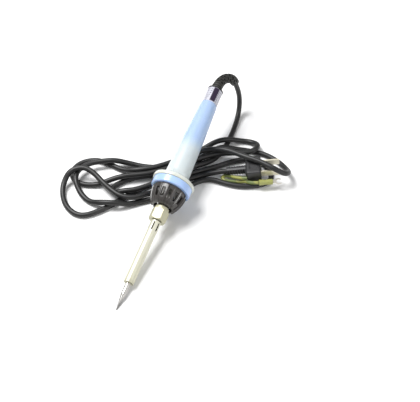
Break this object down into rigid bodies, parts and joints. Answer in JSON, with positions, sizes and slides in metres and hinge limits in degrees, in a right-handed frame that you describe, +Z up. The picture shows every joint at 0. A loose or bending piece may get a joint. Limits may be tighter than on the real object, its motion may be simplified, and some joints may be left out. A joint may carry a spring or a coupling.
{
  "type": "soldering iron",
  "caption": "Mains soldering iron with a slim conical tip, a steel barrel held by a hex nut, a vented black collar, a flanged handle and a looped lead with a flat-blade plug.",
  "frame": {"origin": "on the bench, under the middle of the iron measured from the point of its tip to its rear cap", "axes": "+Z up, +Y along the bench from the tip towards the rear of the handle, +X to the side on which the plug lies"},
  "size_m": [0.1947, 0.256, 0.0528],
  "materials": {
    "plated_tip": "bright iron-plated copper, dulled at the point",
    "barrel_steel": "satin nickel-plated tube with a warm tint",
    "nut_nickel": "satin nickel-plated brass",
    "housing_steel": "turned steel",
    "bush_ceramic": "fired white ceramic",
    "heater_ceramic": "alumina rod",
    "spring_steel": "spring wire",
    "black_resin": "glossy black heat-proof resin",
    "shield_steel": "thin pressed steel",
    "blue_plastic": "light blue moulded plastic",
    "grip_plastic": "translucent whitish sleeve turning light blue to the rear",
    "label_film": "printed film",
    "cap_plastic": "black moulded ring",
    "screw_steel": "zinc-plated steel",
    "board_laminate": "phenolic laminate",
    "post_brass": "turned brass",
    "heater_wire": "nickel wire",
    "live_insulation": "brown PVC",
    "neutral_insulation": "blue PVC",
    "earth_insulation": "green and yellow PVC",
    "lead_jacket": "semi-matte black PVC",
    "clamp_plastic": "white nylon",
    "boot_rubber": "black flexible PVC",
    "plug_pvc": "black moulded PVC",
    "bridge_plastic": "hard plastic insert",
    "blade_nickel": "nickel-plated brass",
    "earth_jacket": "yellow and green striped PVC",
    "terminal_vinyl": "yellow vinyl",
    "fork_tin": "tinned copper"
  },
  "bodies": {
    "root": {"threaded_sleeve": "housing_steel", "heater_bush": "bush_ceramic", "heater_rod": "heater_ceramic", "earth_spring": "spring_steel", "vented_collar": "black_resin", "heat_shield": "shield_steel", "handle_core": "blue_plastic", "grip_sleeve": "grip_plastic", "rating_label": "label_film", "rear_cap": "cap_plastic", "front_screws": "screw_steel", "terminal_board": "board_laminate", "terminal_posts": "post_brass", "heater_wire_live": "heater_wire", "heater_wire_neutral": "heater_wire", "lead_wire_live": "live_insulation", "lead_wire_neutral": "neutral_insulation", "lead_wire_earth": "earth_insulation", "cord_tail": "lead_jacket", "cord_clamp": "clamp_plastic", "strain_relief": "boot_rubber", "mains_lead_1": "lead_jacket", "mains_lead_2": "lead_jacket", "mains_lead_3": "lead_jacket", "mains_lead_4": "lead_jacket", "mains_lead_5": "lead_jacket", "mains_lead_6": "lead_jacket", "plug_body": "plug_pvc", "plug_strain_relief": "plug_pvc", "plug_bridge": "bridge_plastic", "plug_blade_near": "blade_nickel", "plug_blade_far": "blade_nickel", "earth_lead": "earth_jacket", "earth_terminal_sleeve": "terminal_vinyl", "earth_fork": "fork_tin"},
    "barrel": {"barrel": "barrel_steel"},
    "nut": {"barrel_nut": "nut_nickel"},
    "tip": {"tip": "plated_tip"}
  },
  "joints": [
    {"name": "barrel_slide", "type": "slide", "parent": "root", "child": "barrel", "axis": [0, -0.9807, -0.1957], "range_m": [0, 0.005]},
    {"name": "nut_turn", "type": "hinge", "parent": "barrel", "child": "nut", "pos_m": [0, -0.02535, 0.01802], "axis": [0, -0.9807, -0.1957], "range_deg": [0, 1800]},
    {"name": "tip_turn", "type": "hinge", "parent": "barrel", "child": "tip", "pos_m": [0, -0.07987, 0.00713], "axis": [0, -0.9807, -0.1957], "continuous": true}
  ],
  "couplings": [
    {"joint": "nut_turn", "follows": "barrel_slide", "rad_per_m": 6283.2}
  ]
}
